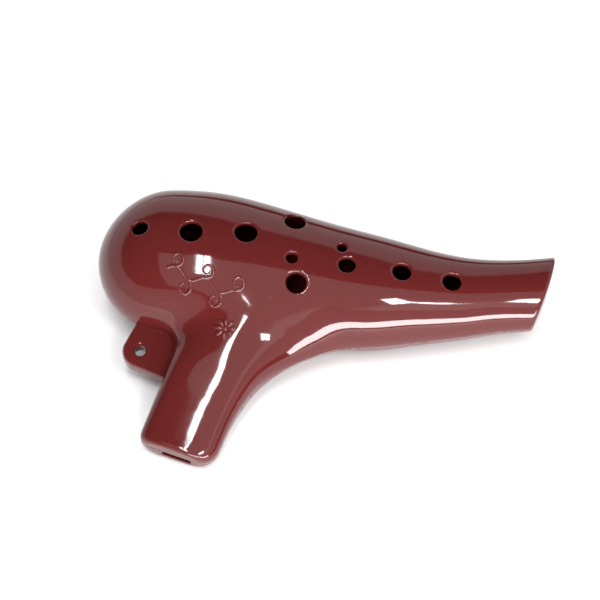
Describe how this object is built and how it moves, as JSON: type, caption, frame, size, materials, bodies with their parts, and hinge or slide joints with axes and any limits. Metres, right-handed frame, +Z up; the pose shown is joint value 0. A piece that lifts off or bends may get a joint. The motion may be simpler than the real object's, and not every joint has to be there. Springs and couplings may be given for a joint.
{
  "type": "ocarina",
  "caption": "Transverse ocarina in glossy moulded plastic: rounded vessel with a tapered tail, flat leaning mouthpiece, finger and thumb holes and a cord lug.",
  "frame": {"origin": "on the surface it rests on, under the middle of its box, in the way it lies by itself: on the belly and the mouthpiece's tip", "axes": "+X towards the tail, +Y away from the player, +Z up, on the finger-hole side; the parting plane is tilted 12.5 degrees to the table"},
  "size_m": [0.1816, 0.1126, 0.0472],
  "materials": {
    "shell": "glossy dark maroon moulded plastic, mould-polished, raised ornament left bright at its edges",
    "block": "dark maroon moulded plastic, satin where it is not polished"
  },
  "bodies": {
    "root": {"upper_shell": "shell", "lower_shell": "shell", "windway_block": "block"}
  },
  "joints": []
}
